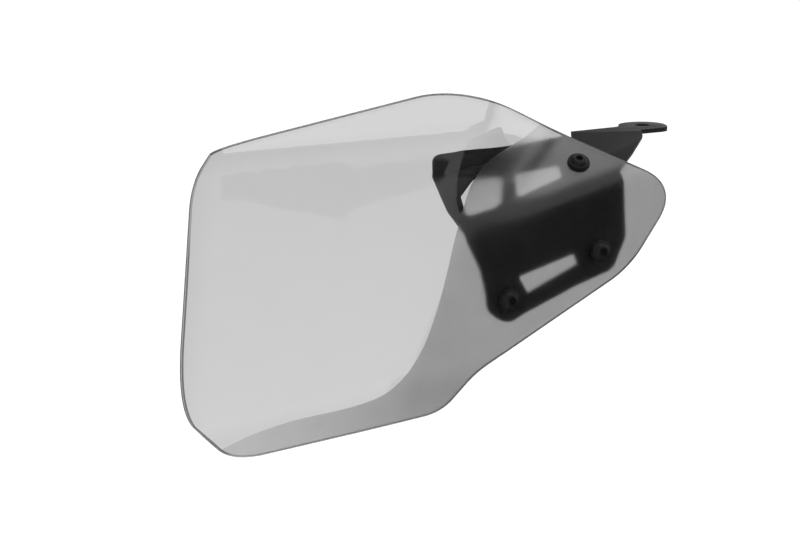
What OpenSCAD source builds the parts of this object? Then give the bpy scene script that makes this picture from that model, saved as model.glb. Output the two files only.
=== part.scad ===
/* [Shield] */
// Thickness of the clear moulded sheet
sheet_t = 4; // [3:0.5:5]
// Radius of the sheet's front edge
edge_r = 1.1; // [0.5:0.1:1.4]
// Diameter of the three screw holes in the sheet
sheet_hole_d = 8.4; // [8.4:0.1:9]
// Fall of the inboard wing, as millimetres back for each millimetre across
wing_fall = 0.6; // [0.4:0.05:0.7]
// Fall of the upper shoulder above the ridge
shoulder_fall = 1.15; // [0.8:0.05:1.2]
// Fall of the rolled rim at the outer end
outer_rim_fall = 0.9; // [0.4:0.05:0.95]
// Fall of the rolled rim along the top
top_rim_fall = 0.85; // [0.4:0.05:0.9]
// Fall of the rolled rim along the bottom
bottom_rim_fall = 0.85; // [0.4:0.05:0.9]

/* [Set of the panel] */
// Angle that the clear panel is swept outboard from straight ahead
sweep = 22; // [10:1:30]
// Angle that the clear panel leans back
lean = 10; // [0:1:20]

/* [Bracket] */
// Thickness of the bent aluminium plate
plate_t = 3; // [2.5:0.5:4]
// Inside radius of its main bend
bend_r = 5; // [4:0.5:7]
// Angle by which the raised lip is folded forward
lip_fold = 38; // [25:1:45]
// Diameter of the mounting hole in the tab
mount_hole_d = 10.5; // [10.2:0.1:11]
// Radius of the round end of the mounting tab
tab_end_r = 16; // [14:0.5:16]

/* [Fixings] */
// Diameter of the screw shank
screw_d = 6; // [5:1:6]
// Length of the screw under its head
screw_len = 25; // [25:1:30]
// Diameter of the screw's flange
flange_d = 13.6; // [12:0.2:14]
// Diameter of the collar washer under the head
collar_washer_d = 15; // [14.5:0.5:16]
// Thickness of the rubber ring behind the sheet
ring_t = 2; // [1.5:0.5:2.5]
// Length of the spacer sleeve
sleeve_len = 5; // [4:0.5:6]

/* [Hidden] */
$fn = 64;

// The panel frame: the clear panel lies in its XY plane, X runs inboard, Y up and Z out towards the wind.
// Folds of the sheet: two points on the fold line.
wing_fold = [[0, -74], [65, 78]];
outer_fold = [[-136, -90], [-128, 60]];
top_fold = [[-113, 68], [20, 84]];
bottom_fold = [[-103, -104], [-4, -80]];
ridge_point = [90, 40];
ridge_angle = 21;

// Corners of the sheet's outline, each with the length that its curve takes from the edge before and after it.
outline = [
  [[-122.3, 77.2], 4.5, 42],
  [[40.1, 119.5], 31.5, 45],
  [[186.5, 53.5], 27, 27],
  [[153, -1], 17, 17],
  [[50.5, -70], 10, 10],
  [[27.5, -96.5], 12, 12],
  [[-110, -128.6], 22, 13],
  [[-146.3, -94.2], 16, 45],
  [[-136.9, 53.6], 17.5, 14.5]];
// Middle of the radial mesh of the sheet, and the rings as fractions of the way to the edge
mesh_middle = [15, 5];
rings = [0.12, 0.25, 0.38, 0.5, 0.6, 0.69, 0.77, 0.84, 0.895, 0.94, 0.975, 1];

// Places of the three fixings on the front of the sheet
upper_at = [118, 68.5];
inboard_at = [132.5, 10.5];
lower_at = [71.5, -22];

plate_gap = ring_t + sleeve_len;
plate_back = sheet_t + plate_gap;

function ramp(d, r) = d < -r ? 0 : d > r ? d : (d + r) * (d + r) / (4 * r);
function soft(x, a, b) = let (t = min(1, max(0, (x - a) / (b - a)))) t * t * (3 - 2 * t);
function side(p, f) = let (e = f[1] - f[0]) ((p.x - f[0].x) * e.y - (p.y - f[0].y) * e.x) / norm(e);
function above_ridge(p) = -(p.x - ridge_point.x) * sin(ridge_angle) + (p.y - ridge_point.y) * cos(ridge_angle);
function height(p) =
  - wing_fall * ramp(side(p, wing_fold), 14)
  - outer_rim_fall * ramp(-side(p, outer_fold), 12)
  - top_rim_fall * ramp(-side(p, top_fold), 8)
  - bottom_rim_fall * ramp(side(p, bottom_fold), 8)
  - soft(side(p, wing_fold), -25, 42) * shoulder_fall * ramp(above_ridge(p), 10);
function face_height(p) = -wing_fall * side(p, wing_fold);
function roof_height(p) = face_height(p) - shoulder_fall * above_ridge(p);

function unit(v) = v / norm(v);
function slope_normal(a, b, c) = unit([a - b, a - c, 0.02]);
function sheet_normal(p) = slope_normal(height(p), height(p + [0.02, 0]), height(p + [0, 0.02]));
face_n = slope_normal(face_height([0, 0]), face_height([0.02, 0]), face_height([0, 0.02]));
roof_n = slope_normal(roof_height([0, 0]), roof_height([0.02, 0]), roof_height([0, 0.02]));
function on_sheet(p) = [p.x, p.y, height(p)];
function on_face(p) = [p.x, p.y, face_height(p) - plate_back / face_n.z];
function on_roof(p) = [p.x, p.y, roof_height(p) - plate_back / roof_n.z];

// Outline of the sheet: straight edges joined by curves, cut into short steps
function curve(a, b, c, n) = [for (i = [0:n]) let (t = i / n) (1 - t) * (1 - t) * a + 2 * t * (1 - t) * b + t * t * c];
function corner(i) = let (n = len(outline), q = outline[i][0],
  a = q + unit(outline[(i + n - 1) % n][0] - q) * outline[i][1],
  b = q + unit(outline[(i + 1) % n][0] - q) * outline[i][2])
  curve(a, q, b, 8);
rough_edge = [for (i = [0:len(outline) - 1]) each corner(i)];
edge = [for (i = [0:len(rough_edge) - 1]) let (a = rough_edge[i], b = rough_edge[(i + 1) % len(rough_edge)],
  n = max(1, ceil(norm(b - a) / 7))) for (k = [0:n - 1]) a + (b - a) * k / n];

// A frame with its origin at o, its X along x and its Z along z
function frame(o, x, z) = let (ez = unit(z), ey = unit(cross(ez, x)), ex = cross(ey, ez))
  [[ex.x, ey.x, ez.x, o.x], [ex.y, ey.y, ez.y, o.y], [ex.z, ey.z, ez.z, o.z], [0, 0, 0, 1]];
function local(p, o, x, z) = let (ez = unit(z), ey = unit(cross(ez, x)), ex = cross(ey, ez)) [(p - o) * ex, (p - o) * ey];

// Corners of a flat shape rounded to the radii in the third place of each
function arc_corner(a, v, b, r) = let (p = unit(a - v), q = unit(b - v), h = acos(p * q) / 2,
  c = v + unit(p + q) * r / sin(h), s = v + p * r / tan(h) - c, e = v + q * r / tan(h) - c,
  a0 = atan2(s.y, s.x), d0 = atan2(e.y, e.x) - a0, d = d0 > 180 ? d0 - 360 : d0 < -180 ? d0 + 360 : d0)
  [for (i = [0:8]) c + r * [cos(a0 + d * i / 8), sin(a0 + d * i / 8)]];
function rounded(pts) = [for (i = [0:len(pts) - 1]) let (n = len(pts), v = pts[i], a = pts[(i + n - 1) % n], b = pts[(i + 1) % n])
  each (v[2] > 0 ? arc_corner([a.x, a.y], [v.x, v.y], [b.x, b.y], v[2]) : [[v.x, v.y]])];

// The plate's ridge, where the outer faces of its front and roof meet
ridge_shift = -(plate_back / roof_n.z - plate_back / face_n.z) / shoulder_fall;
ridge_o = on_face(ridge_point + ridge_shift * [-sin(ridge_angle), cos(ridge_angle)]);
ridge_x = unit(cross(roof_n, face_n));
bend_angle = acos(face_n * roof_n);
bend_t = (bend_r + plate_t) * tan(bend_angle / 2);
ridge_from = -55;
ridge_to = 66;
function face_xy(p) = local(on_face([p.x, p.y]), ridge_o, ridge_x, face_n);
function roof_xy(p) = local(on_roof([p.x, p.y]), ridge_o, ridge_x, roof_n);
function with_r(q, r) = [q.x, q.y, r];

// The mounting tab is level, and its fold is a level line on the roof
up = [0, cos(lean), sin(lean)];
tab_o = on_roof([146, 90.5]);
tab_x = unit(cross(up, roof_n));
tab_angle = acos(roof_n * up);
tab_bend_r = 3;
tab_t = (tab_bend_r + plate_t) * tan(tab_angle / 2);
tab_hole = [22, 26];
tab_left = (on_roof([114, 86.5]) - tab_o) * tab_x + 1.5;
roof_tab_y = unit(cross(roof_n, tab_x));
level_y = unit(cross(up, tab_x));
hole_o = tab_o + tab_x * tab_hole.x + level_y * tab_hole.y - up * plate_t / 2;

// Front of the plate, on the panel's XY with a corner radius
face_shape = [[53, -3, 12], [56.5, -18, 10], [58, -30, 9], [70, -38.5, 13], [82, -30.5, 12], [117, -12, 20], [141, -1.5, 11], [149.5, 20, 14]];
roof_left = [[31, 38, 20], [22.5, 58.5, 0]];
crease_end = [114, 86.5];
roof_right = [[155, 76, 10]];
slot_shape = [[77.5, -6.5, 1.5], [115, 9, 1.5], [118, 1.5, 1.5], [84, -18, 1.5]];
window_a = [[39.5, 47, 1.5], [48.5, 59.5, 3], [67, 61.5, 3], [66, 41.5, 4], [61, 38, 3], [43, 32.5, 3]];
window_b = [[74.5, 62.5, 2.5], [105.5, 67.5, 2.5], [107.5, 58, 2.5], [76.5, 44.5, 2.5]];

// Everything is placed with the middle of the mounting hole at the origin
module placed() rotate([0, 0, -sweep]) rotate([90 - lean, 0, 0]) translate(-hole_o) children();
module fixing(p) multmatrix(frame(on_sheet(p), [1, 0, 0], p == upper_at ? roof_n : face_n)) children();

module flat_shape(pts, t) translate([0, 0, -t]) linear_extrude(t) polygon(rounded(pts));
// A bent strip: its outer face starts flat along Y and turns down by the angle. Its ends run 2 mm into the flats that it joins.
function bend_section(r, t, a) = let (e = 0.02, o = r + t - e, i = r + e, c = cos(a), s = sin(a)) concat(
  [[-2, o]], [for (k = [0:16]) o * [sin(a * k / 16), cos(a * k / 16)]], [[o * s + 2 * c, o * c - 2 * s], [i * s + 2 * c, i * c - 2 * s]],
  [for (k = [16:-1:0]) i * [sin(a * k / 16), cos(a * k / 16)]], [[-2, i]]);
module bend(x0, x1, y, r, t, a) translate([x0, y, -(r + t)])
  multmatrix([[0, 0, 1, 0], [1, 0, 0, 0], [0, 1, 0, 0], [0, 0, 0, 1]])
    linear_extrude(x1 - x0) polygon(bend_section(r, t, a));

// The lip's fold, which is sharp on the hollow side and round on the other
function lip_section(a) = let (o = plate_t - 0.02, c = cos(a), s = sin(a)) concat(
  [[-2, -0.02], [-2, -o]], [for (k = [0:8]) o * [sin(a * k / 8), -cos(a * k / 8)]], [[o * s + 2 * c, 2 * s - o * c], [0.02 * s + 2 * c, 2 * s - 0.02 * c], [0, -0.03]]);

// Way out of the sheet at each point of its edge, along the sheet
outward = [for (i = [0:len(edge) - 1]) let (n = len(edge))
  unit(cross(sheet_normal(edge[i]), on_sheet(edge[(i + 1) % n]) - on_sheet(edge[(i + n - 1) % n])))];
inset = [for (i = [0:len(edge) - 1]) edge[i] - edge_r * [outward[i].x, outward[i].y]];
// Radius of the back edge: most at the outer end, elsewhere only broken
back_r = [for (i = [0:len(edge) - 1]) 0.4 + 1.3 * soft(-unit([outward[i].x, outward[i].y]).x, 0.3, 0.95) * (1 - 0.5 * soft(inset[i].y, -20, 45))];

module sheet_body() {
  n = len(edge);
  m = len(rings);
  flat = concat([mesh_middle], [for (j = [0:m - 1]) for (i = [0:n - 1]) mesh_middle + (inset[i] - mesh_middle) * rings[j]]);
  front = [for (p = flat) on_sheet(p)];
  back = [for (k = [0:len(flat) - 1]) let (p = flat[k], i = k - 1 - (m - 1) * n)
    on_sheet(p) - sheet_t * sheet_normal(p) + (i < 0 ? [0, 0, 0] : (edge_r - back_r[i]) * outward[i])];
  s = len(front);
  // rows of points around the edge, each out along the sheet and back through it
  rim = [for (i = [0:n - 1]) let (r = edge_r, b = back_r[i], q = sqrt(0.5)) [
    [r * q, r * (1 - q)], [r, r], [r, sheet_t - b], [r - b * (1 - q), sheet_t - b * (1 - q)]]];
  wall = [for (k = [0:3]) for (i = [0:n - 1]) on_sheet(inset[i]) + rim[i][k].x * outward[i] - rim[i][k].y * sheet_normal(inset[i])];
  function row(k) = k == 0 ? 1 + (m - 1) * n : k == 5 ? s + 1 + (m - 1) * n : 2 * s + (k - 1) * n;
  faces = concat(
    [for (i = [0:n - 1]) [0, 1 + i, 1 + (i + 1) % n]],
    [for (j = [0:m - 2]) for (i = [0:n - 1]) let (a = 1 + j * n + i, b = 1 + j * n + (i + 1) % n) each [[a, a + n, b + n], [a, b + n, b]]],
    [for (i = [0:n - 1]) [s, s + 1 + (i + 1) % n, s + 1 + i]],
    [for (j = [0:m - 2]) for (i = [0:n - 1]) let (a = s + 1 + j * n + i, b = s + 1 + j * n + (i + 1) % n) each [[a, b + n, a + n], [a, b, b + n]]],
    [for (k = [0:4]) for (i = [0:n - 1]) let (j = (i + 1) % n, a = row(k), c = row(k + 1)) each [[a + i, c + i, c + j], [a + i, c + j, a + j]]]);
  polyhedron(concat(front, back, wall), faces, convexity = 6);
}

module shield() color([0.78, 0.8, 0.82, 0.45]) placed() difference() {
  sheet_body();
  for (p = [upper_at, inboard_at, lower_at]) fixing(p) translate([0, 0, -sheet_t - 4]) cylinder(d = sheet_hole_d, h = sheet_t + 8);
}

module bracket() color([0.06, 0.06, 0.065]) placed() difference() {
  union() {
    // front
    multmatrix(frame(ridge_o, ridge_x, face_n))
      flat_shape(concat([[ridge_from, -bend_t, 0]], [for (q = face_shape) with_r(face_xy(q), q[2])], [[ridge_to, -bend_t, 0]]), plate_t);
    multmatrix(frame(ridge_o, ridge_x, face_n)) bend(ridge_from, ridge_to, -bend_t, bend_r, plate_t, bend_angle);
    // roof
    multmatrix(frame(ridge_o, ridge_x, roof_n))
      flat_shape(concat([[ridge_to, bend_t, 0]], [for (q = roof_right) with_r(roof_xy(q), q[2])],
        [for (q = [[16, tab_t + 2.5], [16, tab_t], [tab_left, tab_t]])
           with_r(local(tab_o + tab_x * q.x - roof_tab_y * q.y, ridge_o, ridge_x, roof_n), 0)],
        [with_r(roof_xy(crease_end), 0),
         with_r(roof_xy(roof_left[1]), 0), with_r(roof_xy(roof_left[0]), 20),
         [ridge_from, bend_t, 0]]), plate_t);
    // raised lip along the crease
    lip_a = on_roof(roof_left[1]);
    lip_b = on_roof(crease_end);
    lip_l = norm(lip_b - lip_a);
    multmatrix(frame(lip_a, lip_b - lip_a, roof_n)) {
      rotate([lip_fold, 0, 0]) flat_shape([[0, 0, 0], [lip_l - 4, 0, 0], [lip_l - 12, 2.2, 3], [4, 14.5, 6]], plate_t);
      multmatrix([[0, 0, 1, 0], [1, 0, 0, 0], [0, 1, 0, 0], [0, 0, 0, 1]])
        linear_extrude(lip_l - 4) polygon(lip_section(lip_fold));
    }
    // mounting tab
    multmatrix(frame(tab_o, tab_x, roof_n)) bend(tab_left, 16, -tab_t, tab_bend_r, plate_t, tab_angle);
    multmatrix(frame(tab_o, tab_x, up))
      flat_shape([[tab_left, tab_t + 2.2, 0], [tab_left, tab_t, 0], [16, tab_t, 0], [16, tab_t + 2.5, 0], [tab_hole.x + tab_end_r, 14, 10], [tab_hole.x + tab_end_r, tab_hole.y + tab_end_r, tab_end_r - 0.1],
        [tab_hole.x - tab_end_r, tab_hole.y + tab_end_r, tab_end_r - 0.1], [tab_hole.x - tab_end_r, 22, 8]], plate_t);
  }
  multmatrix(frame(ridge_o, ridge_x, face_n))
    translate([0, 0, 1]) flat_shape([for (q = slot_shape) with_r(face_xy(q), q[2])], plate_t + 2);
  multmatrix(frame(ridge_o, ridge_x, roof_n)) {
    translate([0, 0, 1]) flat_shape([for (q = window_a) with_r(roof_xy(q), q[2])], plate_t + 2);
    translate([0, 0, 1]) flat_shape([for (q = window_b) with_r(roof_xy(q), q[2])], plate_t + 2);
  }
  for (p = [upper_at, inboard_at, lower_at]) fixing(p) translate([0, 0, -plate_back - plate_t - 1]) cylinder(d = screw_d + 0.6, h = plate_t + 2);
  multmatrix(frame(tab_o, tab_x, up)) translate([tab_hole.x, tab_hole.y, -plate_t - 1]) cylinder(d = mount_hole_d, h = plate_t + 2);
}

// Height of the underside of the screw head over the sheet
head_base = 1.2;
module screw(p) color([0.05, 0.05, 0.055]) placed() fixing(p) difference() {
  rotate_extrude() polygon([[0, head_base - screw_len], [screw_d / 2 - 0.8, head_base - screw_len], [screw_d / 2, head_base - screw_len + 0.8], [screw_d / 2, head_base], [flange_d / 2 - 0.2, head_base],
    [flange_d / 2, head_base + 0.25], [flange_d / 2, head_base + 0.75], [flange_d / 2 - 0.3, head_base + 1.05], [5.6, head_base + 1.2], [5.2, head_base + 2], [4.4, head_base + 2.9], [3.6, head_base + 3.4], [3, head_base + 3.6], [0, head_base + 3.6]]);
  // six-lobe socket
  translate([0, 0, head_base + 1.3]) linear_extrude(4) polygon([for (k = [0:35]) (2.22 + 0.38 * cos(60 * k)) * [cos(10 * k + 15), sin(10 * k + 15)]]);
}
module ring(r_out, r_in, z0, z1, e) rotate_extrude()
  polygon([[r_in, z0], [r_out - e, z0], [r_out, z0 + e], [r_out, z1 - e], [r_out - e, z1], [r_in, z1]]);
module collar_washer(p) color([0.1, 0.1, 0.1]) placed() fixing(p) rotate_extrude()
  polygon([[screw_d / 2 + 0.2, -sheet_t], [sheet_hole_d / 2 - 0.1, -sheet_t], [sheet_hole_d / 2 - 0.1, 0], [collar_washer_d / 2 - 0.2, 0],
    [collar_washer_d / 2, 0.2], [collar_washer_d / 2, head_base - 0.3], [collar_washer_d / 2 - 0.3, head_base], [screw_d / 2 + 0.2, head_base]]);
module rubber_ring(p) color([0.08, 0.08, 0.08]) placed() fixing(p) ring(8, screw_d / 2 + 0.25, -sheet_t - ring_t, -sheet_t, 0.4);
module spacer_sleeve(p) color([0.12, 0.12, 0.12]) placed() fixing(p) ring(7.5, screw_d / 2 + 0.25, -plate_back, -sheet_t - ring_t, 0.3);
module back_washer(p) color([0.55, 0.56, 0.58]) placed() fixing(p) ring(6, screw_d / 2 + 0.2, -plate_back - plate_t - 1.6, -plate_back - plate_t, 0.15);
module lock_nut(p) color([0.5, 0.51, 0.53]) placed() fixing(p) translate([0, 0, -plate_back - plate_t - 1.6]) difference() {
  union() {
    intersection() {
      translate([0, 0, -4.4]) cylinder(d = 10 / cos(30), h = 4.4, $fn = 6);
      rotate_extrude() polygon([[0, -4.4], [5.1, -4.4], [5.9, -3.9], [5.9, -0.5], [5.1, 0], [0, 0]]);
    }
    translate([0, 0, -6]) cylinder(r = 4.3, h = 1.8);
  }
  translate([0, 0, -7]) cylinder(d = screw_d + 0.04, h = 8);
}

module upper_screw() screw(upper_at);
module upper_collar_washer() collar_washer(upper_at);
module upper_rubber_ring() rubber_ring(upper_at);
module upper_spacer_sleeve() spacer_sleeve(upper_at);
module upper_back_washer() back_washer(upper_at);
module upper_lock_nut() lock_nut(upper_at);
module inboard_screw() screw(inboard_at);
module inboard_collar_washer() collar_washer(inboard_at);
module inboard_rubber_ring() rubber_ring(inboard_at);
module inboard_spacer_sleeve() spacer_sleeve(inboard_at);
module inboard_back_washer() back_washer(inboard_at);
module inboard_lock_nut() lock_nut(inboard_at);
module lower_screw() screw(lower_at);
module lower_collar_washer() collar_washer(lower_at);
module lower_rubber_ring() rubber_ring(lower_at);
module lower_spacer_sleeve() spacer_sleeve(lower_at);
module lower_back_washer() back_washer(lower_at);
module lower_lock_nut() lock_nut(lower_at);

shield();
bracket();
upper_screw();
upper_collar_washer();
upper_rubber_ring();
upper_spacer_sleeve();
upper_back_washer();
upper_lock_nut();
inboard_screw();
inboard_collar_washer();
inboard_rubber_ring();
inboard_spacer_sleeve();
inboard_back_washer();
inboard_lock_nut();
lower_screw();
lower_collar_washer();
lower_rubber_ring();
lower_spacer_sleeve();
lower_back_washer();
lower_lock_nut();
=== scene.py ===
import math

import bmesh
import bpy
import numpy as np
from mathutils import Matrix, Vector
from mathutils.geometry import delaunay_2d_cdt


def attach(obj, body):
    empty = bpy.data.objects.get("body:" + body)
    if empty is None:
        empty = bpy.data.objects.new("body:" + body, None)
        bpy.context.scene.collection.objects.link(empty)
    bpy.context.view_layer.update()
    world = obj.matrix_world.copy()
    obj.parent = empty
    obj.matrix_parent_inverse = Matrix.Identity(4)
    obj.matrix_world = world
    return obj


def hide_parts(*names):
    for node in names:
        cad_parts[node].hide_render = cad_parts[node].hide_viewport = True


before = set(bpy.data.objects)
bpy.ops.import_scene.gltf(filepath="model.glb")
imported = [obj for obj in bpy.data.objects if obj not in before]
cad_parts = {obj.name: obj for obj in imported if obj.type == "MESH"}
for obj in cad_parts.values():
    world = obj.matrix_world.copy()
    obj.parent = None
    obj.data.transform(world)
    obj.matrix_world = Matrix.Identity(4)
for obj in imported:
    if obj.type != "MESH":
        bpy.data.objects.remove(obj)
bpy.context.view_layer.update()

MM = 0.001

# ---------------------------------------------------------------- the sheet's shape, in millimetres in the panel's own frame
SHEET_T, RING_T, SLEEVE_L, PLATE_T = 4.0, 2.0, 5.0, 3.0
PLATE_BACK = SHEET_T + RING_T + SLEEVE_L
SWEEP, LEAN = math.radians(22), math.radians(10)
WING = ((0, -74), (65, 78))
OUTER = ((-136, -90), (-128, 60))
TOP = ((-113, 68), (20, 84))
BOTTOM = ((-103, -104), (-4, -80))
RIDGE, RIDGE_A = (90, 40), math.radians(21)
OUTLINE = [((-122.3, 77.2), 4.5, 42), ((40.1, 119.5), 31.5, 45), ((186.5, 53.5), 27, 27), ((153, -1), 17, 17), ((50.5, -70), 10, 10),
           ((27.5, -96.5), 12, 12), ((-110, -128.6), 22, 13), ((-146.3, -94.2), 16, 45), ((-136.9, 53.6), 17.5, 14.5)]
FIXINGS = {"upper": (118, 68.5), "inboard": (132.5, 10.5), "lower": (71.5, -22)}
# Edge of the satin area, from the top edge of the sheet to the outer end of the bottom edge
SATIN = [(84, 86.5), (76.5, 81.5), (69.6, 77.2), (61.8, 71.8), (55.3, 66.2), (47.5, 55.2), (44.5, 48.4), (41.6, 39), (38.2, 27), (35.2, 15.9), (31.2, -1.6), (26.7, -19.5), (21.5, -36.5),
         (15, -53), (6.5, -67.3), (-3.2, -78), (-13, -84.8), (-26.7, -90.1), (-42, -94.2), (-70, -100.6), (-96, -109.5), (-110, -116.2)]


def side(u, v, f):
    (x0, y0), (x1, y1) = f
    return ((u - x0) * (y1 - y0) - (v - y0) * (x1 - x0)) / math.hypot(x1 - x0, y1 - y0)


def ramp(d, r):
    return np.where(d < -r, 0.0, np.where(d > r, d, (d + r) ** 2 / (4 * r)))


def soft(x, a, b):
    t = np.clip((x - a) / (b - a), 0, 1)
    return t * t * (3 - 2 * t)


def above_ridge(u, v):
    return -(u - RIDGE[0]) * math.sin(RIDGE_A) + (v - RIDGE[1]) * math.cos(RIDGE_A)


def height(u, v):
    return (-0.6 * ramp(side(u, v, WING), 14) - 0.9 * ramp(-side(u, v, OUTER), 12) - 0.85 * ramp(-side(u, v, TOP), 8)
            - 0.85 * ramp(side(u, v, BOTTOM), 8) - soft(side(u, v, WING), -25, 42) * 1.15 * ramp(above_ridge(u, v), 10))


def on_sheet(q):
    q = np.asarray(q, float)
    return np.c_[q[:, 0], q[:, 1], height(q[:, 0], q[:, 1])]


def normals(q):
    q, h = np.asarray(q, float), 0.05
    u, v = q[:, 0], q[:, 1]
    n = np.c_[-(height(u + h, v) - height(u - h, v)) / (2 * h), -(height(u, v + h) - height(u, v - h)) / (2 * h), np.ones(len(q))]
    return n / np.linalg.norm(n, axis=1)[:, None]


def unit(v):
    v = np.asarray(v, float)
    return v / np.linalg.norm(v)


def face_height(u, v):
    return -0.6 * side(u, v, WING)


def roof_height(u, v):
    return face_height(u, v) - 1.15 * above_ridge(u, v)


def plane_normal(f):
    return unit([f(0.0, 0.0) - f(1.0, 0.0), f(0.0, 0.0) - f(0.0, 1.0), 1.0])


FACE_N, ROOF_N = plane_normal(face_height), plane_normal(roof_height)

# The row's origin is the middle of the mounting hole in the bracket's level tab
UP = np.array([0, math.cos(LEAN), math.sin(LEAN)])
TAB_O = np.array([146, 90.5, roof_height(146, 90.5) - PLATE_BACK / ROOF_N[2]])
TAB_X = unit(np.cross(UP, ROOF_N))
HOLE_O = TAB_O + TAB_X * 22 + unit(np.cross(UP, TAB_X)) * 26 - UP * PLATE_T / 2
CS, SS, CL, SL = math.cos(-SWEEP), math.sin(-SWEEP), math.cos(math.pi / 2 - LEAN), math.sin(math.pi / 2 - LEAN)
TURN = np.array([[CS, -SS, 0], [SS, CS, 0], [0, 0, 1]]) @ np.array([[1, 0, 0], [0, CL, -SL], [0, SL, CL]])


def to_row(p):
    return (np.asarray(p, float) - HOLE_O) @ TURN.T * MM


def turned(n):
    return np.asarray(n, float) @ TURN.T


def axes_at(o, z):
    """Columns X, Y, Z of the frame with its Z along z and its X as near as it can be to the panel's X"""
    ez = unit(z)
    ey = unit(np.cross(ez, [1, 0, 0]))
    return np.cross(ey, ez), ey, ez


# ---------------------------------------------------------------- meshes
def new_object(name, verts, faces, vertex_normals=None, mats=(), index=None, sharp=None):
    mesh = bpy.data.meshes.new(name)
    mesh.from_pydata([tuple(v) for v in verts], [], [tuple(int(i) for i in f) for f in faces])
    for m in mats:
        mesh.materials.append(m)
    if index is not None:
        mesh.polygons.foreach_set("material_index", np.asarray(index, np.int32))
    mesh.polygons.foreach_set("use_smooth", np.ones(len(mesh.polygons), bool))
    if sharp is not None:
        mesh.set_sharp_from_angle(angle=math.radians(sharp))
    mesh.update()
    if vertex_normals is not None:
        mesh.normals_split_custom_set_from_vertices([tuple(n) for n in vertex_normals])
    o = bpy.data.objects.new(name, mesh)
    bpy.context.scene.collection.objects.link(o)
    return o


def inside(q, poly):
    x, y = q[:, 0][:, None], q[:, 1][:, None]
    a, b = poly, np.roll(poly, -1, 0)
    hit = ((a[:, 1] > y) != (b[:, 1] > y)) & (x < (b[:, 0] - a[:, 0]) * (y - a[:, 1]) / (b[:, 1] - a[:, 1] + 1e-12) + a[:, 0])
    return hit.sum(1) % 2 == 1


def far_from(q, pts, d):
    out = np.ones(len(q), bool)
    for i in range(0, len(q), 2000):
        out[i:i + 2000] = ((q[i:i + 2000, None, :] - pts[None]) ** 2).sum(2).min(1) > d * d
    return out


def outline_points(step):
    n, rough = len(OUTLINE), []
    for i in range(n):
        q = np.array(OUTLINE[i][0], float)
        a = q + unit(np.array(OUTLINE[i - 1][0]) - q) * OUTLINE[i][1]
        b = q + unit(np.array(OUTLINE[(i + 1) % n][0]) - q) * OUTLINE[i][2]
        k = max(8, int((OUTLINE[i][1] + OUTLINE[i][2]) / 1.8))
        for j in range(k + 1):
            t = j / k
            rough.append((1 - t) ** 2 * a + 2 * t * (1 - t) * q + t * t * b)
    out = []
    for i, a in enumerate(rough):
        b = rough[(i + 1) % len(rough)]
        m = max(1, math.ceil(np.linalg.norm(b - a) / step))
        out += [a + (b - a) * k / m for k in range(m)]
    return np.array(out)


def resample(pts, step):
    pts = np.asarray(pts, float)
    # smooth the polyline by a Catmull-Rom curve and walk it in even steps
    fine = []
    p = np.vstack([2 * pts[0] - pts[1], pts, 2 * pts[-1] - pts[-2]])
    for i in range(1, len(p) - 2):
        for k in range(12):
            t = k / 12
            fine.append(0.5 * (2 * p[i] + (p[i + 1] - p[i - 1]) * t + (2 * p[i - 1] - 5 * p[i] + 4 * p[i + 1] - p[i + 2]) * t * t
                               + (3 * p[i] - p[i - 1] - 3 * p[i + 1] + p[i + 2]) * t ** 3))
    fine = np.array(fine + [pts[-1]])
    s = np.r_[0, np.cumsum(np.linalg.norm(np.diff(fine, axis=0), axis=1))]
    at = np.linspace(0, s[-1], int(s[-1] / step) + 1)
    return np.c_[np.interp(at, s, fine[:, 0]), np.interp(at, s, fine[:, 1])]


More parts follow.
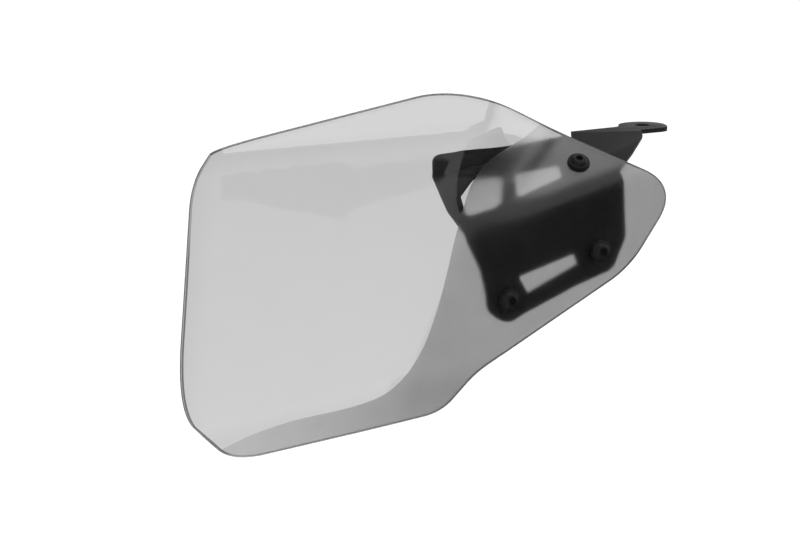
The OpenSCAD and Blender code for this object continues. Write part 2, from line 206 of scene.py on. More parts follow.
def make_sheet(mat):
    step, r, rh, hole_r = 2.6, 1.1, 0.3, 4.2
    ring = outline_points(2.2)
    f, n = on_sheet(ring), normals(ring)
    e = np.cross(n, np.roll(f, -1, 0) - np.roll(f, 1, 0))
    e /= np.linalg.norm(e, axis=1)[:, None]
    ring = ring - r * e[:, :2]
    loops, hole_axes = [ring], []
    for name, p in FIXINGS.items():
        o = on_sheet([p])[0]
        ex, ey, ez = axes_at(o, ROOF_N if name == "upper" else FACE_N)
        a = np.linspace(0, 2 * math.pi, 64, endpoint=False)
        loop = o + (hole_r + rh) * (np.cos(a)[:, None] * ex + np.sin(a)[:, None] * ey)
        loops.append(loop[:, :2])
    # The satin edge starts and ends on vertices of the outline
    line = resample(SATIN, 1.6)
    i0 = int(((ring - (np.array([91.5, 91.8]))) ** 2).sum(1).argmin())
    i1 = int(((ring - (np.array([-118.0, -120.0]))) ** 2).sum(1).argmin())
    line = resample(np.vstack([ring[i0], SATIN, ring[i1]]), 1.6)[1:-1]
    line = line[inside(line, ring) & far_from(line, ring, 0.8)]
    fixed = np.vstack(loops + [line])
    pts, k = [], 0
    for y in np.arange(-135, 125, step * 0.866):
        for x in np.arange(-150, 195, step):
            pts.append((x + (step / 2 if k % 2 else 0), y))
        k += 1
    pts = np.array(pts)
    ok = inside(pts, ring)
    pts = pts[ok]
    for loop in loops[1:]:
        pts = pts[~inside(pts, loop)]
    pts = pts[far_from(pts, fixed, step * 0.62)]
    q = np.vstack([fixed, pts])
    edges, at = [], 0
    for loop in loops:
        m = len(loop)
        edges += [(at + i, at + (i + 1) % m) for i in range(m)]
        at += m
    chain = [i0] + list(range(at, at + len(line))) + [i1]
    edges += list(zip(chain[:-1], chain[1:]))
    out = delaunay_2d_cdt([Vector((x, y)) for x, y in q], edges, [], 0, 1e-5)
    got = np.array([tuple(v) for v in out[0]])
    if len(got) != len(q) or abs(got - q).max() > 1e-3:
        raise RuntimeError("the sheet's triangulation moved its points")
    tris = np.array([tuple(t) for t in out[2] if len(t) == 3])
    mid = q[tris].mean(1)
    keep = inside(mid, ring)
    for loop in loops[1:]:
        keep &= ~inside(mid, loop)
    tris, mid = tris[keep], mid[keep]
    a, b, c = q[tris[:, 0]], q[tris[:, 1]], q[tris[:, 2]]
    area = (b[:, 0] - a[:, 0]) * (c[:, 1] - a[:, 1]) - (b[:, 1] - a[:, 1]) * (c[:, 0] - a[:, 0])
    tris[area < 0] = tris[area < 0][:, ::-1]
    zone = np.vstack([ring[i0], line, ring[i1], [(-120, -150), (230, -150), (230, 140), (95, 140)]])
    satin_face = inside(mid, zone)

    f, n = on_sheet(q), normals(q)
    verts = [f, f - SHEET_T * n]
    norms = [n, -n]
    size = len(q)
    faces = [tris, tris[:, ::-1] + size]
    satin = [satin_face.astype(float), np.zeros(len(tris))]
    milled = [np.zeros(len(tris)), np.zeros(len(tris))]
    grey = [np.zeros(len(tris)), np.zeros(len(tris))]
    count = 2 * size
    at = 0
    for li, loop in enumerate(loops):
        m = len(loop)
        ids = np.arange(at, at + m)
        f0, n0 = f[ids], n[ids]
        if li == 0:
            e0 = np.cross(n0, np.roll(f0, -1, 0) - np.roll(f0, 1, 0))
            rr = r
        else:
            o = on_sheet([list(FIXINGS.values())[li - 1]])[0]
            e0 = o - f0
            e0 -= (e0 * n0).sum(1)[:, None] * n0
            rr = rh
        e0 /= np.linalg.norm(e0, axis=1)[:, None]
        rows = [ids]
        for k in range(1, 7):
            w = math.radians(90 * k / 6)
            verts.append(f0 - rr * n0 + rr * (math.sin(w) * e0 + math.cos(w) * n0))
            norms.append(math.sin(w) * e0 + math.cos(w) * n0)
            rows.append(np.arange(count, count + m)); count += m
        # the back edge is rounded most at the outer end and only broken elsewhere
        out = e0[:, :2] / np.linalg.norm(e0[:, :2], axis=1)[:, None]
        rb = (0.4 + 1.3 * soft(-out[:, 0], 0.3, 0.95) * (1 - 0.5 * soft(f0[:, 1], -20, 45)) if li == 0 else np.full(m, rr))[:, None]
        for k in range(0, 4):
            w = math.radians(90 * k / 4)
            verts.append(f0 + (rr - rb) * e0 - (SHEET_T - rb) * n0 + rb * (math.cos(w) * e0 - math.sin(w) * n0))
            norms.append(math.cos(w) * e0 - math.sin(w) * n0)
            rows.append(np.arange(count, count + m)); count += m
        verts[1][ids] = f0 + (rr - rb) * e0 - SHEET_T * n0
        # painted light and shade on the cut edge: nearly black along the top, a little darker round the outer end,
        # light elsewhere
        top_edge_shade = soft(out[:, 1], 0.35, 0.75)
        tone_with_painted_light = (1 - top_edge_shade) * (1 - 0.35 * soft(-out[:, 0], 0.3, 0.9) * (1 - soft(-out[:, 1], 0.6, 0.95)))
        # painted shade: the back rounding is darker towards the bottom
        back_edge_painted_shade = 0.08 + 0.5 * soft(f0[:, 1], 5, 25)
        # painted highlight: along the bottom and round the inboard end the rounded edge is painted pale, as a light
        # line, and frosted
        painted_edge_highlight = (1 - top_edge_shade) * np.clip(soft(-out[:, 1], 0.5, 0.85) * (1 - soft(-out[:, 0], 0.25, 0.55)) + soft(out[:, 0], 0.3, 0.8), 0, 1)
        rows.append(ids + size)
        for r0, r1 in zip(rows[:-1], rows[1:]):
            a, b, c, d = r0, np.roll(r0, -1), np.roll(r1, -1), r1
            quad = np.c_[a, b, c, d]
            if li > 0:
                quad = quad[:, ::-1]
            faces.append(quad)
            cut = li == 0 and any(r0 is x for x in rows[6:11])
            satin.append(np.zeros(m))
            rounding = li == 0 and any(r0 is x for x in rows[3:6])
            # painted shade: along the top the front rounding is painted dark too, which widens the dark edge line
            painted_dark_crown = li == 0 and any(r0 is x for x in rows[0:6])
            milled.append(np.full(m, float(cut)) + (top_edge_shade if painted_dark_crown else 0) + (painted_edge_highlight if rounding else 0))
            grey.append(tone_with_painted_light * (1 if any(r0 is x for x in rows[6:9]) else back_edge_painted_shade) if cut else np.where(painted_edge_highlight > 0.01, 2.0 * rounding, 0.0))
        at += m
    V, N = to_row(np.vstack(verts)), turned(np.vstack(norms))
    F = [tuple(x) for g in faces for x in g]
    # Turn every face so that it agrees with its vertices' normals
    fixed_faces = []
    for t in F:
        p = V[list(t)]
        g = np.cross(p[1] - p[0], p[2] - p[0]) if len(t) == 3 else np.cross(p[2] - p[0], p[3] - p[1])
        fixed_faces.append(t if g @ N[list(t)].sum(0) > 0 else t[::-1])
    o = new_object("shield_sheet", V, fixed_faces, N, (mat,))
    for key, part in (("satin", satin), ("milled", milled), ("grey", grey)):
        o.data.attributes.new(key, "FLOAT", "FACE").data.foreach_set("value", np.concatenate(part).astype(np.float32))
    return o


def lathe(name, p, rows, mats, cols=72, closed=False, caps=(True, True), sharp=30, row_mat=None):
    """A turned piece on the axis of a fixing. rows holds (radius or array of radii, z or array of z). closed joins the last row to the first."""
    o = on_sheet([FIXINGS[p]])[0]
    ex, ey, ez = axes_at(o, ROOF_N if p == "upper" else FACE_N)
    a = np.linspace(0, 2 * math.pi, cols, endpoint=False)
    ring = np.cos(a)[:, None] * ex + np.sin(a)[:, None] * ey
    verts, faces, index = [], [], []
    for r, z in rows:
        verts.append(o + ring * np.broadcast_to(r, (cols,))[:, None] + np.broadcast_to(z, (cols,))[:, None] * ez)
    m = len(rows)
    pairs = [(i, i + 1) for i in range(m - 1)] + ([(m - 1, 0)] if closed else [])
    for i, j in pairs:
        for k in range(cols):
            l = (k + 1) % cols
            faces.append((i * cols + k, i * cols + l, j * cols + l, j * cols + k))
            index.append(row_mat[i] if row_mat else 0)
    verts = np.vstack(verts)
    if not closed:
        for end, want in ((0, caps[0]), (m - 1, caps[1])):
            if want:
                c = len(verts)
                verts = np.vstack([verts, verts[end * cols:(end + 1) * cols].mean(0)])
                for k in range(cols):
                    faces.append((end * cols + k, end * cols + (k + 1) % cols, c))
                    index.append(row_mat[end if end == 0 else end - 1] if row_mat else 0)
    me = new_object(name, to_row(verts), faces, None, mats, index)
    bm = bmesh.new()
    bm.from_mesh(me.data)
    bmesh.ops.recalc_face_normals(bm, faces=bm.faces)
    bm.to_mesh(me.data)
    bm.free()
    me.data.set_sharp_from_angle(angle=math.radians(sharp))
    return me


def arc(cx, cz, r, a0, a1, n=5):
    return [(cx + r * math.cos(math.radians(a0 + (a1 - a0) * k / n)), cz + r * math.sin(math.radians(a0 + (a1 - a0) * k / n))) for k in range(n + 1)]


def own(piece, node):
    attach(piece, "root")
    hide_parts(node)
    return piece


# ---------------------------------------------------------------- materials
class Tree:
    """A short way to write node trees: t("ShaderNodeX", Socket=value or output, prop_x=...)"""

    def __init__(self, name):
        self.mat = bpy.data.materials.new(name)
        self.mat.use_nodes = True
        self.tree = self.mat.node_tree
        self.tree.nodes.clear()
        self.out = self("ShaderNodeOutputMaterial")

    def __call__(self, kind, props=None, **sockets):
        n = self.tree.nodes.new(kind)
        for k, v in (props or {}).items():
            setattr(n, k, v)
        for k, v in sockets.items():
            self.set(n, k.replace("_", " "), v)
        return n

    def set(self, n, name, v):
        s = n.inputs[int(name)] if name.isdigit() else n.inputs[name]
        if isinstance(v, bpy.types.NodeSocket):
            self.tree.links.new(v, s)
        else:
            s.default_value = v

    def surface(self, s):
        self.tree.links.new(s, self.out.inputs["Surface"])

    def volume(self, s):
        self.tree.links.new(s, self.out.inputs["Volume"])

    def coords(self):
        return self("ShaderNodeTexCoord").outputs["Object"]

    def noise(self, scale, detail=4.0, rough=0.5, at=None):
        n = self("ShaderNodeTexNoise", Vector=at or self.coords())
        n.inputs["Scale"].default_value, n.inputs["Detail"].default_value, n.inputs["Roughness"].default_value = scale, detail, rough
        return n.outputs["Fac"]

    def spread(self, s, lo, hi, a=0.3, b=0.7):
        n = self("ShaderNodeMapRange")
        self.tree.links.new(s, n.inputs["Value"])
        for k, v in (("From Min", a), ("From Max", b), ("To Min", lo), ("To Max", hi)):
            n.inputs[k].default_value = v
        return n.outputs["Result"]

    def two_tone(self, s, c0, c1):
        n = self("ShaderNodeMix", {"data_type": "RGBA"})
        self.tree.links.new(s, n.inputs[0])
        n.inputs[6].default_value, n.inputs[7].default_value = (*c0, 1), (*c1, 1)
        return n.outputs[2]

    def math(self, op, a, b=0.0, clamp=False):
        n = self("ShaderNodeMath", {"operation": op, "use_clamp": clamp})
        self.set(n, "0", a)
        self.set(n, "1", b)
        return n.outputs[0]

    def bump(self, s, distance, strength=1.0, under=None):
        n = self("ShaderNodeBump", Height=s)
        n.inputs["Strength"].default_value, n.inputs["Distance"].default_value = strength, distance
        if under is not None:
            self.tree.links.new(under, n.inputs["Normal"])
        return n.outputs["Normal"]

    def principled(self, **sockets):
        return self("ShaderNodeBsdfPrincipled", **sockets)


def lets_lamps_through(t, shader):
    mix = t("ShaderNodeMixShader")
    t.tree.links.new(t("ShaderNodeLightPath").outputs["Is Shadow Ray"], mix.inputs[0])
    t.tree.links.new(shader, mix.inputs[1])
    t.tree.links.new(t("ShaderNodeBsdfTransparent").outputs[0], mix.inputs[2])
    t.surface(mix.outputs[0])
    v = t("ShaderNodeVolumeAbsorption")
    v.inputs["Color"].default_value, v.inputs["Density"].default_value = SMOKE, SMOKE_DENSITY
    t.volume(v.outputs[0])


SMOKE, SMOKE_DENSITY, SATIN_ROUGH = (0.30, 0.30, 0.305, 1), 232.0, 0.33


def smoked_acrylic():
    """One glassy material for the whole sheet: polished, satin and milled where the face attributes say so"""
    t = Tree("smoked_acrylic")
    at = t.coords()
    satin = t("ShaderNodeAttribute", {"attribute_name": "satin"}).outputs["Fac"]
    # polished: faint smudges, specks of dust
    smudge = t.spread(t.noise(26, 5, 0.6, at), 0.0, 1.0, 0.42, 0.72)
    specks = t.spread(t.noise(1500, 2, 0.5, at), 0.0, 1.0, 0.70, 0.78)
    polished = t.math("ADD", t.math("ADD", t.math("MULTIPLY", smudge, 0.022), t.math("MULTIPLY", specks, 0.10)), 0.012, True)
    # satin: fine grain and soft clouds, thinning out along the bottom rim towards the outer end
    across = t("ShaderNodeVectorMath", {"operation": "DOT_PRODUCT"})
    t.tree.links.new(at, across.inputs[0])
    across.inputs[1].default_value = tuple(turned([[1, 0, 0]])[0])
    u0 = float(to_row([[0, 0, 0]])[0] @ turned([[1, 0, 0]])[0])
    fade = t.spread(across.outputs["Value"], 0.55, 1.0, u0 - 0.105, u0 - 0.015)
    # painted light: the shoulder's top is painted paler, as if lit from above
    upward = t("ShaderNodeVectorMath", {"operation": "DOT_PRODUCT"})
    t.tree.links.new(at, upward.inputs[0])
    upward.inputs[1].default_value = tuple(turned([[0, 1, 0]])[0])
    v0 = float(to_row([[0, 0, 0]])[0] @ turned([[0, 1, 0]])[0])
    painted_top_light = t.spread(upward.outputs["Value"], 1.0, 0.12, v0 + 0.070, v0 + 0.087)
    grain, cloud = t.noise(2600, 3, 0.65, at), t.noise(38, 4, 0.55, at)
    frosted = t.math("MULTIPLY", t.math("ADD", t.spread(cloud, SATIN_ROUGH - 0.02, SATIN_ROUGH + 0.02), t.spread(grain, -0.02, 0.02)), fade, True)
    rough = t("ShaderNodeMix", {"data_type": "FLOAT"})
    for i, v in ((0, satin), (2, polished), (3, frosted)):
        t.tree.links.new(v, rough.inputs[i])
    # the sheet is formed by heat, so its faces wander a little
    wave = t.bump(t.noise(11, 1.5, 0.4, at), 0.0003, 0.5)
    tiny = t.bump(t.math("MULTIPLY", grain, satin), 0.000035, 0.5, wave)
    bright = t.two_tone(t.spread(cloud, 0, 1), (0.975, 0.975, 0.975), (0.99, 0.99, 0.99))
    milky = t.two_tone(t.spread(cloud, 0, 1), (0.30, 0.30, 0.304), (0.35, 0.35, 0.354))
    tone_with_painted_light = t("ShaderNodeMix", {"data_type": "RGBA"})
    for i, v in ((0, t.math("MULTIPLY", t.math("MULTIPLY", satin, fade), painted_top_light)), (6, bright), (7, milky)):
        t.tree.links.new(v, tone_with_painted_light.inputs[i])
    # milled: the cut edge, smoky, with painted shade making it nearly black along the top and painted light making it
    # paler round the outer end and below, with the cutter's fine lines
    milled = t("ShaderNodeAttribute", {"attribute_name": "milled"}).outputs["Fac"]
    grey = t("ShaderNodeAttribute", {"attribute_name": "grey"}).outputs["Fac"]
    chatter, lines = t.noise(120, 4, 0.6, at), t.noise(2400, 2, 0.6, at)
    cut = t("ShaderNodeMix", {"data_type": "RGBA"})
    for i, v in ((0, grey), (6, t.two_tone(t.spread(chatter, 0, 1), (0.006, 0.006, 0.0064), (0.018, 0.018, 0.0185))),
                 (7, t.two_tone(t.spread(chatter, 0, 1), (0.66, 0.665, 0.67), (0.78, 0.785, 0.79)))):
        t.tree.links.new(v, cut.inputs[i])
    colour = t("ShaderNodeMix", {"data_type": "RGBA"})
    for i, v in ((0, milled), (6, tone_with_painted_light.outputs[2]), (7, cut.outputs[2])):
        t.tree.links.new(v, colour.inputs[i])
    finish = t("ShaderNodeMix", {"data_type": "FLOAT"})
    for i, v in ((0, milled), (2, rough.outputs[0]), (3, t.math("ADD", t.spread(chatter, 0.38, 0.52), t.spread(lines, -0.05, 0.06), True))):
        t.tree.links.new(v, finish.inputs[i])
    p = t.principled(Base_Color=colour.outputs[2], Roughness=finish.outputs[0], Normal=tiny)
    p.inputs["IOR"].default_value = 1.49
    p.inputs["Transmission Weight"].default_value = 1.0
    lets_lamps_through(t, p.outputs[0])
    return t.mat


def powder_coat():
    t = Tree("black_powder_coat")
    at = t.coords()
    peel = t.noise(620, 3, 0.55)
    grit = t.noise(2600, 2, 0.6)
    patch = t.noise(34, 4, 0.6)
    col = t.two_tone(t.spread(patch, 0, 1), (0.005, 0.005, 0.0053), (0.009, 0.009, 0.0094))
    # rubbed edges, where the coat is thin, partly wear and partly a painted highlight that makes the edges lighter in
    # colour
    rounded = t("ShaderNodeBevel", {"samples": 4})
    rounded.inputs["Radius"].default_value = 0.0007
    geo = t("ShaderNodeNewGeometry")
    dot = t("ShaderNodeVectorMath", {"operation": "DOT_PRODUCT"})
    t.tree.links.new(rounded.outputs[0], dot.inputs[0])
    t.tree.links.new(geo.outputs["True Normal"], dot.inputs[1])
    edge_wear_and_sheen = t.math("MULTIPLY", t.spread(dot.outputs["Value"], 1.0, 0.0, 0.80, 0.985), t.spread(grit, 0.25, 1.0))
    mix = t("ShaderNodeMix", {"data_type": "RGBA"})
    t.tree.links.new(edge_wear_and_sheen, mix.inputs[0])
    t.tree.links.new(col, mix.inputs[6])
    mix.inputs[7].default_value = (0.040, 0.040, 0.042, 1)
    rough = t.math("ADD", t.spread(patch, 0.58, 0.68), t.spread(grit, -0.05, 0.06), True)
    n = t.bump(grit, 0.000018, 0.7, t.bump(peel, 0.00006, 0.75))
    p = t.principled(Base_Color=mix.outputs[2], Roughness=rough, Normal=n)
    p.inputs["IOR"].default_value = 1.5
    p.inputs["Specular IOR Level"].default_value = 0.14
    t.surface(p.outputs[0])
    return t.mat


def black_steel():
    t = Tree("black_oxide_steel")
    cloud, fine = t.noise(420, 4, 0.6), t.noise(3800, 3, 0.6)
    col = t.two_tone(t.spread(cloud, 0, 1), (0.004, 0.004, 0.0042), (0.010, 0.010, 0.0105))
    rough = t.math("ADD", t.spread(cloud, 0.35, 0.50), t.spread(fine, -0.05, 0.05), True)
    p = t.principled(Base_Color=col, Roughness=rough, Normal=t.bump(fine, 0.00001, 0.5))
    p.inputs["Specular IOR Level"].default_value = 0.1
    t.surface(p.outputs[0])
    return t.mat


def black_nylon():
    t = Tree("black_nylon")
    cloud, fine = t.noise(500, 3, 0.5), t.noise(3000, 3, 0.6)
    col = t.two_tone(t.spread(cloud, 0, 1), (0.004, 0.004, 0.004), (0.009, 0.009, 0.0095))
    p = t.principled(Base_Color=col, Roughness=t.math("ADD", t.spread(cloud, 0.42, 0.55), t.spread(fine, -0.05, 0.05), True), Normal=t.bump(fine, 0.000012, 0.6))
    p.inputs["Specular IOR Level"].default_value = 0.1
    t.surface(p.outputs[0])
    return t.mat


def black_rubber():
    t = Tree("black_rubber")
    cloud, fine = t.noise(260, 4, 0.6), t.noise(4200, 3, 0.7)
    col = t.two_tone(t.spread(cloud, 0, 1), (0.010, 0.010, 0.010), (0.024, 0.023, 0.022))
    p = t.principled(Base_Color=col, Roughness=t.math("ADD", t.spread(cloud, 0.68, 0.86), t.spread(fine, -0.05, 0.05), True), Normal=t.bump(fine, 0.00003, 0.7))
    t.surface(p.outputs[0])
    return t.mat


def zinc_steel():
    t = Tree("zinc_steel")
    cloud, fine = t.noise(300, 5, 0.6), t.noise(5200, 3, 0.6)
    col = t.two_tone(t.spread(cloud, 0, 1), (0.34, 0.345, 0.36), (0.46, 0.46, 0.455))
    rough = t.math("ADD", t.spread(cloud, 0.26, 0.42), t.spread(fine, -0.06, 0.06), True)
    p = t.principled(Base_Color=col, Roughness=rough, Normal=t.bump(fine, 0.00001, 0.6))
    p.inputs["Metallic"].default_value = 1.0
    t.surface(p.outputs[0])
    return t.mat


def insert_nylon():
    t = Tree("nut_insert_nylon")
    cloud = t.noise(900, 4, 0.6)
    col = t.two_tone(t.spread(cloud, 0, 1), (0.62, 0.62, 0.58), (0.74, 0.74, 0.70))
    p = t.principled(Base_Color=col, Roughness=t.spread(cloud, 0.35, 0.5))
    p.inputs["Subsurface Weight"].default_value = 0.25
    p.inputs["Subsurface Scale"].default_value = 0.001
    t.surface(p.outputs[0])
    return t.mat


# ---------------------------------------------------------------- the pieces
ACRYLIC, COAT, STEEL, NYLON, RUBBER, ZINC, INSERT = (smoked_acrylic(), powder_coat(), black_steel(), black_nylon(), black_rubber(), zinc_steel(),
                                                     insert_nylon())
own(make_sheet(ACRYLIC), "shield")


def make_bracket():
    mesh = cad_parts["bracket"].data.copy()
    mesh.name = "bracket_plate"
    mesh.materials.clear()
    mesh.materials.append(COAT)
    bm = bmesh.new()
    bm.from_mesh(mesh)
    bmesh.ops.remove_doubles(bm, verts=bm.verts, dist=2e-6)
    bmesh.ops.dissolve_limit(bm, angle_limit=math.radians(0.6), verts=bm.verts, edges=bm.edges, delimit={"NORMAL"})
    bm.to_mesh(mesh)
    bm.free()
    mesh.polygons.foreach_set("use_smooth", np.ones(len(mesh.polygons), bool))
    mesh.polygons.foreach_set("material_index", np.zeros(len(mesh.polygons), np.int32))
    o = bpy.data.objects.new("bracket_plate", mesh)
    bpy.context.scene.collection.objects.link(o)
    b = o.modifiers.new("edges", "BEVEL")
    b.limit_method, b.angle_limit, b.width, b.segments, b.harden_normals = "ANGLE", math.radians(38), 0.00035, 2, True
    b.use_clamp_overlap = True
    return o


own(make_bracket(), "bracket")

BASE = 1.2


def star(big):
    a = np.degrees(np.linspace(0, 2 * math.pi, 72, endpoint=False))
    return 2.22 + 0.36 * np.cos(np.radians(6 * (a - 15))) + big


def make_screw(p):
    z = BASE
    rows = [(0.9, z + 0.75), (star(-0.12), z + 1.3), (star(0), z + 1.42), (star(0), z + 3.42), (star(0.06), z + 3.53), (star(0.17), z + 3.6), (3.0, z + 3.6)]
    rows += [(3.35, z + 3.53), (3.8, z + 3.32), (4.3, z + 2.97), (4.75, z + 2.52), (5.1, z + 2.05), (5.33, z + 1.62), (5.48, z + 1.36), (5.7, z + 1.2)]
    rows += [(6.3, z + 1.08), (6.55, z + 0.98), (6.74, z + 0.82), (6.8, z + 0.6), (6.8, z + 0.35), (6.7, z + 0.1), (6.5, z), (3.05, z), (2.98, z - 0.2), (2.98, -10.5)]
    a = np.linspace(0, 1, 72, endpoint=False)
    zs = np.arange(-10.6, z - 25 + 0.9, -0.125)
    for zz in zs:
        ph = (zz + a) % 1.0
        r = 2.52 + 0.45 * np.clip(1.25 - 2.5 * np.abs(ph - 0.5), 0, 1) ** 0.9
        rows.append((r, zz))
    rows += [(2.45, z - 25 + 0.75), (2.15, z - 25 + 0.1), (1.95, z - 25)]
    return lathe(p + "_screw_body", p, rows, (STEEL,), 72, sharp=34)


def make_collar_washer(p):
    z = BASE
    prof = [(3.3, -4), (4.0, -4), (4.1, -3.85), (4.1, 0.0), (7.2, 0.0), (7.42, 0.08), (7.5, 0.3), (7.5, 0.75), (7.42, 1.02), (7.22, 1.17), (6.95, z), (3.3, z), (3.2, z - 0.1), (3.2, -3.9)]
    return lathe(p + "_collar_washer_body", p, prof, (NYLON,), 72, closed=True)


def make_rubber_ring(p):
    lo, hi = -SHEET_T - RING_T, -SHEET_T
    prof = [(3.3, lo), (7.6, lo)] + arc(7.45, lo + 0.55, 0.55, -90, 0, 4) + arc(7.45, hi - 0.55, 0.55, 0, 90, 4) + [(7.6, hi), (3.3, hi)]
    prof = [(3.3, lo)] + arc(7.5, lo + 0.5, 0.5, -90, 0, 4) + arc(7.5, hi - 0.5, 0.5, 0, 90, 4) + [(3.3, hi)]
    return lathe(p + "_rubber_ring_body", p, prof, (RUBBER,), 72, closed=True)


def make_sleeve(p):
    lo, hi = -PLATE_BACK, -SHEET_T - RING_T
    prof = [(3.3, lo)] + arc(7.15, lo + 0.35, 0.35, -90, 0, 3) + arc(7.15, hi - 0.35, 0.35, 0, 90, 3) + [(3.3, hi)]
    return lathe(p + "_spacer_sleeve_body", p, prof, (NYLON,), 72, closed=True)


def make_back_washer(p):
    hi = -PLATE_BACK - PLATE_T
    lo = hi - 1.6
    prof = [(3.25, lo)] + arc(5.8, lo + 0.2, 0.2, -90, 0, 3) + arc(5.75, hi - 0.25, 0.25, 0, 90, 3) + [(3.25, hi)]
    return lathe(p + "_back_washer_body", p, prof, (ZINC,), 72, closed=True)


def make_nut(p):
    hi = -PLATE_BACK - PLATE_T - 1.6
    a = np.degrees(np.linspace(0, 2 * math.pi, 96, endpoint=False))
    hexr = 5.0 / np.cos(np.radians((a + 30) % 60 - 30))
    rows, mat = [(3.05, hi), (4.95, hi)], [0, 0]
    for cone, z in ((5.1, 0.0), (5.35, -0.15), (5.6, -0.32), (5.8, -0.5)):
        rows.append((np.minimum(hexr, cone), hi + z))
        mat.append(0)
    for cone, z in ((5.8, -3.9), (5.6, -4.06), (5.35, -4.22), (5.1, -4.38)):
        rows.append((np.minimum(hexr, cone), hi + z))
        mat.append(0)
    rows += [(4.7, hi - 4.42), (4.3, hi - 4.5), (4.27, hi - 5.3), (4.15, hi - 5.72), (3.9, hi - 5.95), (3.6, hi - 6.0), (3.45, hi - 5.93)]
    mat += [0] * 7
    rows += [(3.42, hi - 5.55), (3.1, hi - 5.5), (3.05, hi - 5.4), (3.05, hi - 3.0)]
    mat[-1] = 0
    mat += [1, 1, 1, 1]
    return lathe(p + "_lock_nut_body", p, rows, (ZINC, INSERT), 96, closed=True, sharp=24, row_mat=mat)


for p in FIXINGS:
    own(make_screw(p), p + "_screw")
    own(make_collar_washer(p), p + "_collar_washer")
    own(make_rubber_ring(p), p + "_rubber_ring")
    own(make_sleeve(p), p + "_spacer_sleeve")
    own(make_back_washer(p), p + "_back_washer")
    own(make_nut(p), p + "_lock_nut")

# ---------------------------------------------------------------- camera
scene = bpy.context.scene
SCALE, DISTANCE = 0.65, 3000.0
target = to_row([[0, 0, 0]])[0]
U, V_, W = turned([[1, 0, 0]])[0], turned([[0, 1, 0]])[0], turned([[0, 0, 1]])[0]
cam = bpy.data.objects.new("camera", bpy.data.cameras.new("camera"))
scene.collection.objects.link(cam)
cam.data.sensor_width, cam.data.lens = 36, 36 * DISTANCE / SCALE / 800
cam.data.clip_start, cam.data.clip_end = 0.05, 60
cam.matrix_world = Matrix(((U[0], V_[0], W[0], target[0] + W[0] * DISTANCE * MM), (U[1], V_[1], W[1], target[1] + W[1] * DISTANCE * MM),
                           (U[2], V_[2], W[2], target[2] + W[2] * DISTANCE * MM), (0, 0, 0, 1)))
scene.camera = cam

# ---------------------------------------------------------------- floor, light and cards
scene.view_settings.view_transform = "Standard"


def plane(name, centre, x, y, w, h, mat):
    centre, x, y = np.asarray(centre, float), unit(x), unit(y)
    c = [centre + x * sx * w / 2 + y * sy * h / 2 for sx, sy in ((-1, -1), (1, -1), (1, 1), (-1, 1))]
    mesh = bpy.data.meshes.new(name)
    mesh.from_pydata([tuple(v) for v in c], [], [(0, 1, 2, 3)])
    mesh.materials.append(mat)
    o = bpy.data.objects.new(name, mesh)
    scene.collection.objects.link(o)
    return o


def emitter(name, strength, color=(1, 1, 1)):
    t = Tree(name)
    e = t("ShaderNodeEmission")
    e.inputs["Color"].default_value, e.inputs["Strength"].default_value = (*color, 1), strength
    t.surface(e.outputs[0])
    return t.mat


FLOOR_Z = -0.42
t = Tree("pale_floor")
add = t("ShaderNodeAddShader")
d = t("ShaderNodeBsdfDiffuse")
t.set(d, "Color", t.two_tone(t.noise(3, 3), (0.70, 0.70, 0.705), (0.72, 0.72, 0.725)))
e = t("ShaderNodeEmission")
e.inputs["Color"].default_value, e.inputs["Strength"].default_value = (1, 1, 1, 1), 0.30
t.tree.links.new(d.outputs[0], add.inputs[0])
t.tree.links.new(e.outputs[0], add.inputs[1])
t.surface(add.outputs[0])
plane("floor", (0, 0, FLOOR_Z), (1, 0, 0), (0, 1, 0), 60, 60, t.mat)


def lamp(name, at, look, w, h, watts):
    data = bpy.data.lights.new(name, "AREA")
    data.shape, data.size, data.size_y, data.energy = "RECTANGLE", w, h, watts
    o = bpy.data.objects.new(name, data)
    scene.collection.objects.link(o)
    z = unit(np.asarray(at, float) - look)
    x = unit(np.cross((0, 0, 1) if abs(z[2]) < 0.95 else (0, 1, 0), z))
    y = np.cross(z, x)
    o.matrix_world = Matrix(((x[0], y[0], z[0], at[0]), (x[1], y[1], z[1], at[1]), (x[2], y[2], z[2], at[2]), (0, 0, 0, 1)))
    o.visible_camera = False
    return o


mid = target + np.array([0.0, 0.0, 0.0])
# one softbox overhead, a little towards the inboard end, in a white tent
lamp("overhead", mid + U * 0.55 + V_ * 2.15 + W * 0.3, mid, 2.2, 1.6, 26)

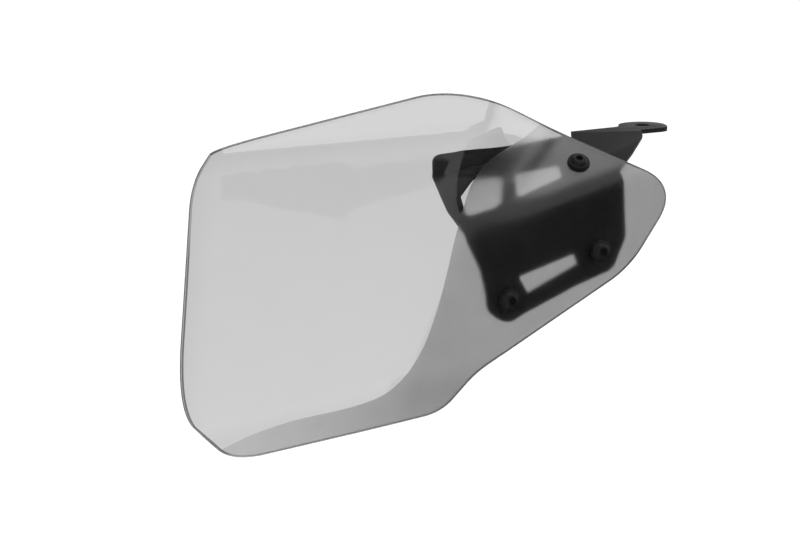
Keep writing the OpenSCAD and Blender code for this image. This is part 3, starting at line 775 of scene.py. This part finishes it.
world = bpy.data.worlds.new("studio")
scene.world = world
world.use_nodes = True
nt = world.node_tree
nt.nodes.clear()
wo = nt.nodes.new("ShaderNodeOutputWorld")
bg = nt.nodes.new("ShaderNodeBackground")
coord = nt.nodes.new("ShaderNodeTexCoord")
sep = nt.nodes.new("ShaderNodeSeparateXYZ")
rampn = nt.nodes.new("ShaderNodeValToRGB")
nt.links.new(coord.outputs["Generated"], sep.inputs[0])
nt.links.new(sep.outputs[2], rampn.inputs[0])
cr = rampn.color_ramp
cr.elements[0].position, cr.elements[0].color = 0.0, (0.97, 0.97, 0.97, 1)
cr.elements[1].position, cr.elements[1].color = 0.15, (1.0, 1.0, 1.0, 1)
for pos, v in ((0.5, 0.9), (1.0, 1.0)):
    el = cr.elements.new(pos)
    el.color = (v, v, v, 1)
nt.links.new(rampn.outputs[0], bg.inputs[0])
# a soft glow beside the inboard end, which puts the haze on the satin shoulder
glow = nt.nodes.new("ShaderNodeVectorMath")
glow.operation = "DOT_PRODUCT"
nt.links.new(coord.outputs["Generated"], glow.inputs[0])
glow.inputs[1].default_value = tuple(unit([0.97, -0.14, 0.18]))
fall = nt.nodes.new("ShaderNodeMapRange")
fall.interpolation_type = "SMOOTHSTEP"
nt.links.new(glow.outputs["Value"], fall.inputs["Value"])
for k, v in (("From Min", 0.89), ("From Max", 1.0), ("To Min", 1.05), ("To Max", 3.1)):
    fall.inputs[k].default_value = v
nt.links.new(fall.outputs["Result"], bg.inputs[1])
nt.links.new(bg.outputs[0], wo.inputs[0])

# Dark cards, seen only in reflections: beside and below the inboard end, which keep the wing and the plate's front
# dark, and one behind the camera
dark = emitter("dark_card", 0.004)


def card(name, points):
    mesh = bpy.data.meshes.new(name)
    mesh.from_pydata([tuple(p) for p in points], [], [tuple(range(len(points)))])
    mesh.materials.append(dark)
    o = bpy.data.objects.new(name, mesh)
    scene.collection.objects.link(o)
    o.visible_camera = o.visible_diffuse = o.visible_transmission = o.visible_shadow = False
    return o


def upright(centre, x, w, h):
    c, x = np.asarray(centre, float), unit(x)
    return [c + x * i * w / 2 + np.array([0, 0, j * h / 2]) for i, j in ((-1, -1), (1, -1), (1, 1), (-1, 1))]


card("dark_flag", upright(mid + np.array([0.755 * 1.06, -0.656 * 1.06, -0.08]), [0.656, 0.755, 0], 1.38, 0.72))
card("dark_low", [mid * (1, 1, 0) + np.array([x, y, FLOOR_Z + 0.01]) for x, y in ((0.05, -0.25), (0.0, -1.6), (2.0, -1.6), (2.0, 0.3), (0.3, 0.3))])
far = 3.45
card("dark_gap", [mid + W * far + (U * u + V_ * v) * MM * (3 + far) / 3 for u, v in ((-136, 49), (-36, 28.6), (-31, 36), (16, 52), (32, 58), (32, 68), (14, 67.6), (-29, 62.4), (-53, 73), (-53, 95), (-136, 95))])
